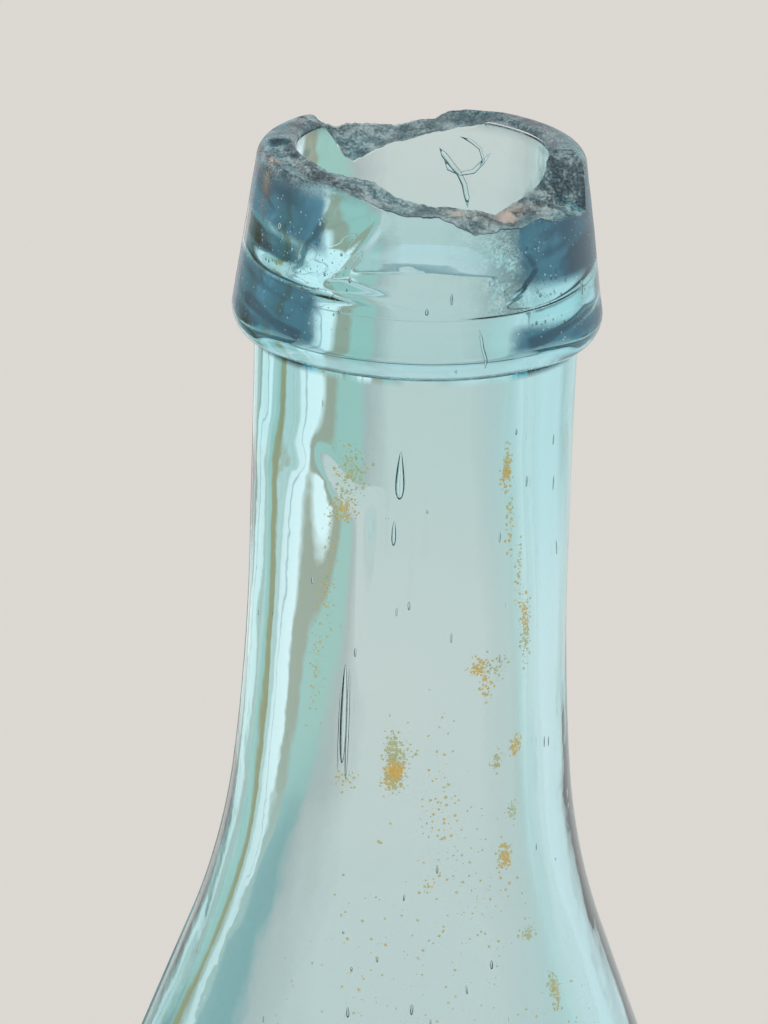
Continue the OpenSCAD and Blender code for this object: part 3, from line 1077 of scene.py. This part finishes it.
# Where iron stain and grime cling inside the neck: direction from +X in degrees,
# height, half width across, half height and how thick they lie.
STAINS = (
    (266.8, 189.0, 0.45, 0.9, 9.0), (266.0, 191.2, 0.5, 0.9, 2.2), (270.5, 190.3, 0.4, 1.5, 0.6),
    (300.6, 197.9, 0.6, 0.35, 3.0), (304, 196.2, 0.3, 1.2, 1.0), (310, 197.5, 0.7, 0.8, 0.5),
    (318.5, 190.3, 0.35, 0.45, 4.0), (309, 189.3, 0.4, 0.4, 2.0), (311, 180.9, 0.4, 0.6, 4.0),
    (316, 184.7, 0.3, 0.5, 2.0), (324, 168.6, 0.35, 0.8, 4.0), (281, 179.0, 0.25, 0.25, 2.5),
    (318, 174.0, 0.4, 0.3, 2.5), (243, 214.6, 0.9, 1.6, 0.9), (241, 211.5, 0.8, 0.35, 2.5),
    (236, 206, 0.5, 3.5, 0.35), (232, 198, 0.4, 4.5, 0.25), (313.6, 214.8, 0.25, 1.2, 3.0),
    (316, 210.5, 0.2, 2.0, 0.9), (321, 204.5, 0.2, 2.8, 0.6), (325, 200.5, 0.25, 2.0, 2.5),
    (247.5, 187.8, 0.7, 0.4, 1.2), (285, 186, 1.6, 5.0, 0.08), (300, 178, 4.0, 6.0, 0.025),
    (270, 172, 6.0, 6.0, 0.02), (330, 160, 8.0, 9.0, 0.012), (250, 160, 8.0, 9.0, 0.012),
)


# The kink under the narrow bore. Directions in degrees between which it comes and
# goes; its share at its weaker end, and where it grows from that to the whole.
KINK_COMES, KINK_GOES, KINK_WEAK, KINK_GROWS = (130, 190), (258, 249), 0.6, (225, 245)
# Its height over the bore's foot, how far it drops and the directions over which it
# does; how much longer it gets and the directions for that. In millimetres.
KINK_OVER, KINK_DROP, KINK_DROPS = 1.2, 3.6, (222, 250)
KINK_LONGER, KINK_LENGTHENS = 3, (236, 206)


def kink_bore(mesh, s):
    """Thins the wall at once below the narrow bore at the left, as the mouth tool left it."""
    step = s.neck_r - BORE_R - s.thin_wall
    for v, inside in zip(mesh.vertices, mesh.attributes["inside"].data):
        z = v.co.z / MM
        if inside.value < 0.5 or not BORE_FOOT - s.long_ease < z < BORE_FOOT + 1:
            continue
        angle = math.degrees(math.atan2(v.co.y, v.co.x)) % 360
        left = ramp(angle, *KINK_COMES) * ramp(angle, *KINK_GOES)
        left *= KINK_WEAK + (1 - KINK_WEAK) * ramp(angle, *KINK_GROWS)
        foot = BORE_FOOT + KINK_OVER - KINK_DROP * ramp(angle, *KINK_DROPS)
        ease = s.bore_ease + KINK_LONGER * ramp(angle, *KINK_LENGTHENS)
        slow = ramp(z, BORE_FOOT - s.long_ease, BORE_FOOT)
        quick = ramp(z, foot - ease, foot)
        out = 1 + max(slow - quick, 0) * left * step * MM / math.hypot(v.co.x, v.co.y)
        v.co.x *= out
        v.co.y *= out


def mark_stains(mesh):
    """Marks on the inner wall's points how thickly the stain lies there."""
    count = len(mesh.vertices)
    inside = np.empty(count, np.float32)
    mesh.attributes["inside"].data.foreach_get("value", inside)
    place = np.empty(count * 3, np.float32)
    mesh.vertices.foreach_get("co", place)
    x, y, z = place.reshape(-1, 3).T / MM
    r, angle = np.hypot(x, y), np.degrees(np.arctan2(y, x))
    stain = np.zeros(count)
    for spot, height, wide, tall, thick in STAINS:
        across = np.radians((angle - spot + 180) % 360 - 180) * r / wide
        stain += thick * np.exp(-(across**2) - ((z - height) / tall) ** 2)
    mark(mesh, "stain", np.where((inside > 0.5) & (z > 120), stain, 0))


# The stain's two colours, its patches and its pits in millimetres, how strongly it
# glows with painted light that stands in for light soaking through it, and how much goes by.
STAIN_COLOURS = "D2CB9A", "E8C25F"
STAIN_PATCH, STAIN_PITS = 3.3, 0.16
STAIN_PAINTED_GLOW, STAIN_CLEAR = 0.28, 0.4


def iron_stain():
    """Iron stain and dried soil, left by seeping water: matt ochre to olive-brown crumbs, with a faint
    painted glow.
    """
    material, tree = new_material("iron_stain_dried")
    where = add(tree, "ShaderNodeTexCoord").outputs["Object"]
    patch = {"Vector": where, "Scale": scale_for(STAIN_PATCH), "Detail": 3.0}
    patch = add(tree, "ShaderNodeTexNoise", patch)
    patch = add(tree, "ShaderNodeMapRange", {"Value": patch, "From Min": 0.42, "From Max": 0.58})
    shade = {"Factor": patch, "A": srgb(STAIN_COLOURS[0]), "B": srgb(STAIN_COLOURS[1])}
    shade = add(tree, "ShaderNodeMix", shade, data_type="RGBA").outputs["Result"]
    pitted = add(tree, "ShaderNodeTexNoise", {"Vector": where, "Scale": scale_for(STAIN_PITS)})
    crust = {"Height": pitted, "Strength": 0.6, "Distance": 0.03 * MM}
    # The crumbs glow with painted light, standing in for light from behind that soaks
    # through the thin crust. Their edges let light by.
    crumbs = add(
        tree,
        "ShaderNodeBsdfPrincipled",
        {
            "Base Color": shade,
            "Roughness": 0.85,
            "Normal": add(tree, "ShaderNodeBump", crust),
            "Emission Color": shade,
            "Emission Strength": STAIN_PAINTED_GLOW,
        },
    )
    clear = add(tree, "ShaderNodeBsdfTransparent")
    film = add(tree, "ShaderNodeMixShader", {0: STAIN_CLEAR, 1: crumbs, 2: clear})
    add(tree, "ShaderNodeOutputMaterial", {"Surface": film})
    return material


# ---------------------------------------------------------------- pieces


def closed(mesh):
    """Turns every face of a closed shell outwards."""
    build = bmesh.new()
    build.from_mesh(mesh)
    bmesh.ops.recalc_face_normals(build, faces=build.faces)
    for face in build.faces:
        face.smooth = True
    build.to_mesh(mesh)
    build.free()


def with_voids(mesh, add_voids):
    """Adds bubbles and cracks to a closed shell, as shells of air within the glass."""
    voids = bpy.data.meshes.new("voids")
    build = bmesh.new()
    for face in add_voids(build):
        face.smooth = True
    build.to_mesh(voids)
    build.clear()
    build.from_mesh(mesh)
    build.from_mesh(voids)
    build.to_mesh(mesh)
    build.free()
    bpy.data.meshes.remove(voids)


def linked_piece(name, mesh, material):
    """Links a mesh as a piece that rides on the bottle."""
    mesh.materials.clear()
    mesh.materials.append(material)
    piece = linked(name, mesh)
    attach(piece, "root")
    return piece


class BOTTLE_OT_blown_body(bpy.types.Operator):
    """Blow the bottle: base, body, shoulder and neck as one wall of glass"""

    bl_idname = "bottle.blown_body"
    bl_label = "Blown body"

    def execute(self, context):
        sizes = in_mm(context.scene.bottle_body)
        material = aqua_glass("soda_lime_glass_blown", context.scene.bottle_glass)
        outline = points_mesh("bottle_outline", body_profile(sizes))
        shell = through_nodes(
            "bottle_outline",
            outline,
            blown_wall_tree(),
            {
                "Segments": sizes.around,
                "Ripple Width": 7 * MM,
                "Ripple Length": 45 * MM,
                "Lump Size": 16 * MM,
                "Seed": 4.0,
                "Material": material,
            },
        )
        closed(shell)
        kink_bore(shell, sizes)
        mesh = through_nodes(
            "bottle_seeds",
            shell,
            seeds_tree(),
            {
                "Density": sizes.seed_density * 10000,
                "Size Min": 0.05 * MM,
                "Size Max": 0.16 * MM,
                "Stretch": 6.0,
                "Depth Min": 0.5 * MM,
                "Depth Max": 1.5 * MM,
                "Seed": 11,
                "Material": material,
            },
        )

        outer = [(z, r) for r, z, _, side in reversed(body_profile(sizes)) if side == OUTSIDE]
        heights, radii = zip(*(row for row in outer if row[0] > sizes.heel_r))

        def neck_voids(build):
            for angle, z, depth, half_length, half_width, taper in NECK_BUBBLES:
                r = np.interp(z, heights, radii) - depth
                yield from add_bubble(build, angle, r, z, half_length, half_width, taper)

        with_voids(mesh, neck_voids)
        piece = linked_piece("blown_bottle_glass", mesh, material)
        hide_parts("bottle_body")
        return {"FINISHED"}


class BOTTLE_OT_iron_stain(bpy.types.Operator):
    """Lay the crumbs of iron stain on the inside of the neck and shoulder"""

    bl_idname = "bottle.iron_stain"
    bl_label = "Iron stain"

    def execute(self, context):
        wall = bpy.data.objects["blown_bottle_glass"].data.copy()
        mark_stains(wall)
        material = iron_stain()
        mesh = through_nodes(
            "stain_flakes",
            wall,
            flakes_tree(),
            {
                "Density": 8.5e7,
                "Size Min": 0.02 * MM,
                "Size Max": 0.16 * MM,
                "Thickness": 0.03 * MM,
                "Seed": 5,
                "Material": material,
            },
        )
        linked_piece("iron_stain_crumbs", mesh, material)
        return {"FINISHED"}


class BOTTLE_OT_applied_collar(bpy.types.Operator):
    """Lay the collar round the neck end and break its rim"""

    bl_idname = "bottle.applied_collar"
    bl_label = "Applied collar"

    def execute(self, context):
        neck_r = in_mm(context.scene.bottle_body).neck_r
        sizes = in_mm(context.scene.bottle_collar)
        mesh = collar_mesh(sizes, neck_r)
        closed(mesh)

        def collar_voids(build):
            for angle, z, depth, half_length, half_width, taper in COLLAR_BUBBLES:
                r = WIDEST_R - depth
                yield from add_bubble(build, angle, r, z, half_length, half_width, taper)
            for angle, z, depth, size in collar_specks():
                r = collar_outer_r(z, sizes, neck_r) - depth
                yield from add_bubble(build, angle, r, z, size * 1.4, size, 0, 2)
            for path, half_width, depth in CRACKS:
                yield from add_crack(build, path, half_width, WIDEST_R - depth)

        with_voids(mesh, collar_voids)
        # The collar gets the painted deep-blue edge shade at full strength.
        material = aqua_glass("soda_lime_glass_tooled", context.scene.bottle_glass, 1.0)
        piece = linked_piece("applied_collar_glass", mesh, material)
        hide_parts("applied_collar")
        return {"FINISHED"}


class BOTTLE_OT_stage(bpy.types.Operator):
    """Set the floor, the light and the camera"""

    bl_idname = "bottle.stage"
    bl_label = "Stage"

    def execute(self, context):
        looks = context.scene.bottle_stage
        set_floor(looks)
        set_cards()
        set_world(looks)
        set_camera()
        return {"FINISHED"}


# Half the floor's width, in metres.
FLOOR_HALF = 6.0


def set_floor(looks):
    """A wide pale floor under the bottle."""
    mesh = bpy.data.meshes.new("floor")
    corners = [(x * FLOOR_HALF, y * FLOOR_HALF, 0) for x, y in ((-1, -1), (1, -1), (1, 1), (-1, 1))]
    mesh.from_pydata(corners, [], [(0, 1, 2, 3)])
    material, tree = new_material("matt_paper_floor")
    paint = add(tree, "ShaderNodeBsdfDiffuse", {"Color": looks.floor})
    add(tree, "ShaderNodeOutputMaterial", {"Surface": paint})
    mesh.materials.append(material)
    linked("floor", mesh)


# What a strip of card is painted: colour at the top, colour at the foot and strength.
STRIPS = {
    "room": ("D8D4D0", "D8D4D0", 0.76),
    "pale": ("E0ECE8", "E0ECE8", 0.84),
    "olive": ("B0A070", "B0A070", 0.9),
    "green": ("B8D8CC", "88B0B0", 0.86),
    "tan": ("B8B098", "C0D0C8", 0.85),
    "grey": ("B8C8D0", "B8C8D0", 0.9),
    "bright": ("F4F8F8", "F4F8F8", 0.9),
    "white": ("FFFFFF", "F0F4F4", 1.08),
}
# Curved cards that stand behind the neck. Only the glass sees them. Each is a row
# of stops: direction in degrees from straight behind, left being negative, and the
# strip that stands there. The ends of a row fade out.
CARDS = {
    "left": (
        (-100, "pale"), (-95, "pale"), (-62, "pale"), (-59.5, "olive"), (-53.5, "olive"),
        (-50, "green"), (-46, "green"), (-41, "pale"), (-36, "pale"), (-34, "white"),
        (-28.5, "white"), (-27.4, "grey"), (-26.4, "white"), (-20.5, "white"), (-18, "tan"),
        (-14.5, "tan"), (-13, "green"), (-8.5, "green"), (-7, "room"), (-3, "room"),
    ),
    "right": ((9, "room"), (20, "pale"), (32, "bright"), (60, "bright"), (95, "pale"), (100, "pale")),
}
# How much wider the streaks stand at a height than the stops say.
CARD_SPREAD = (
    (128, 2.15), (135, 1.92), (139, 1.8), (143, 1.48), (149, 1.38), (157, 1.3), (166, 1.22),
    (175, 1.06), (186, 0.93),
)
CARD_DISTANCE = 100
CARD_LOW, CARD_HIGH = 78, 262
CARD_FADE = 46
CARD_ROWS = 80
# How far a streak sways either way, as a share of its direction, and how tall a
# sway is, in millimetres.
CARD_SWAY, CARD_SWAY_TALL = 0.05, 20
# The directions between which the streaks at the left come to stand wider.
SPREAD_BETWEEN = (-30, -10)
# Heights between which a strip's lower colour gives way to its upper one.
FOOT_COLOUR = (136, 150)


def set_cards():
    """Cards whose reflections draw the long upright streaks in the glass."""
    for name, stops in CARDS.items():
        set_card(name, stops)


def set_card(name, stops):
    """One card: rows of glowing points whose colours run into one another."""
    points, shades, seen = [], [], []
    for row in range(CARD_ROWS + 1):
        z = CARD_LOW + (CARD_HIGH - CARD_LOW) * row / CARD_ROWS
        wider = np.interp(z, *zip(*CARD_SPREAD)) - 1
        up = ramp(z, *FOOT_COLOUR)
        end = min(z - CARD_LOW, CARD_HIGH - z) / CARD_FADE
        for k, (direction, strip) in enumerate(stops):
            high, low, strength = STRIPS[strip]
            sway = CARD_SWAY * direction * noise.noise((z / CARD_SWAY_TALL, k * 0.3, 0))
            if name == "left":
                sway += direction * wider * ramp(direction, *SPREAD_BETWEEN)
            seen.append(smooth_step(end) * (0 < k < len(stops) - 1))
            points.append(point_at(90 - direction - sway, CARD_DISTANCE, z))
            colours = list(zip(srgb(high), srgb(low)))[:3]
            shades += [strength * (foot + (top - foot) * up) for top, foot in colours] + [1.0]
    wide = len(stops)
    faces = [
        (r * wide + k, r * wide + k + 1, r * wide + wide + k + 1, r * wide + wide + k)
        for r in range(CARD_ROWS)
        for k in range(wide - 1)
    ]
    mesh = bpy.data.meshes.new("card_" + name)
    mesh.from_pydata(points, [], faces)
    mark(mesh, "seen", seen)
    kept = mesh.attributes.new("shade", "FLOAT_COLOR", "POINT")
    kept.data.foreach_set("color", np.array(shades, np.float32))
    material, tree = new_material("glowing_card_" + name)
    shade = add(tree, "ShaderNodeAttribute", attribute_name="shade").outputs["Color"]
    glow = add(tree, "ShaderNodeEmission", {"Color": shade})
    clear = add(tree, "ShaderNodeBsdfTransparent")
    faded = add(tree, "ShaderNodeMixShader", {0: marked(tree, "seen"), 1: clear, 2: glow})
    add(tree, "ShaderNodeOutputMaterial", {"Surface": faded})
    mesh.materials.append(material)
    card = linked("card_" + name, mesh)
    card.visible_camera = card.visible_diffuse = card.visible_shadow = False


def set_world(looks):
    """Soft even light from all round."""
    world = bpy.data.worlds.new("studio")
    bpy.context.scene.world = world
    world.use_nodes = True
    tree = world.node_tree
    tree.nodes.clear()
    light = {"Color": (1, 1, 1, 1), "Strength": looks.ambient}
    light = add(tree, "ShaderNodeBackground", light)
    add(tree, "ShaderNodeOutputWorld", {"Surface": light})


# The camera looks slightly down on the neck from half a metre, leaning a little.
CAMERA_PITCH = math.radians(18.8)
CAMERA_LEAN = math.radians(1.85)
CAMERA_DISTANCE = 500
CAMERA_TARGET = (-2.2, 0, 207.7)
FRAME_HEIGHT_PX = 1024
FOCAL_PX = 5937


def set_camera():
    """The camera, and how many times light may bounce or pass on through the glass."""
    lens = bpy.data.cameras.new("camera")
    lens.sensor_width = 36
    lens.lens = FOCAL_PX * lens.sensor_width / FRAME_HEIGHT_PX
    lens.clip_end = 50
    camera = linked("camera", lens)
    forward = Vector((0, math.cos(CAMERA_PITCH), -math.sin(CAMERA_PITCH)))
    up = Vector((0, math.sin(CAMERA_PITCH), math.cos(CAMERA_PITCH)))
    lean = Matrix.Rotation(-CAMERA_LEAN, 3, forward)
    turn = Matrix((lean @ Vector((1, 0, 0)), lean @ up, -forward)).transposed()
    place = Vector(CAMERA_TARGET) * MM - forward * CAMERA_DISTANCE * MM
    camera.matrix_world = Matrix.Translation(place) @ turn.to_4x4()
    scene = bpy.context.scene
    scene.camera = camera
    scene.view_settings.view_transform = "Standard"
    scene.cycles.max_bounces = 24
    scene.cycles.transmission_bounces = 24
    scene.cycles.glossy_bounces = 12
    scene.cycles.transparent_max_bounces = 32


class BOTTLE_PT_panel(bpy.types.Panel):
    """The bottle's pieces and the stage"""

    bl_label = "Antique bottle"
    bl_space_type = "VIEW_3D"
    bl_region_type = "UI"
    bl_category = "Bottle"

    def draw(self, context):
        for operator in OPERATORS:
            self.layout.operator(operator.bl_idname)
        for name in GROUPS:
            box = self.layout.box()
            group = getattr(context.scene, name)
            for key in group.__annotations__:
                box.prop(group, key)


OPERATORS = (
    BOTTLE_OT_blown_body,
    BOTTLE_OT_iron_stain,
    BOTTLE_OT_applied_collar,
    BOTTLE_OT_stage,
)
GROUPS = {
    "bottle_body": BodySizes,
    "bottle_collar": CollarSizes,
    "bottle_glass": GlassLooks,
    "bottle_stage": StageLooks,
}


def register():
    for kind in (*GROUPS.values(), *OPERATORS, BOTTLE_PT_panel):
        bpy.utils.register_class(kind)
    for name, kind in GROUPS.items():
        setattr(bpy.types.Scene, name, bpy.props.PointerProperty(type=kind))


def unregister():
    for name in GROUPS:
        delattr(bpy.types.Scene, name)
    for kind in reversed((*GROUPS.values(), *OPERATORS, BOTTLE_PT_panel)):
        bpy.utils.unregister_class(kind)


def main():
    register()
    bpy.ops.bottle.blown_body()
    bpy.ops.bottle.iron_stain()
    bpy.ops.bottle.applied_collar()
    bpy.ops.bottle.stage()


if __name__ == "__main__":
    main()
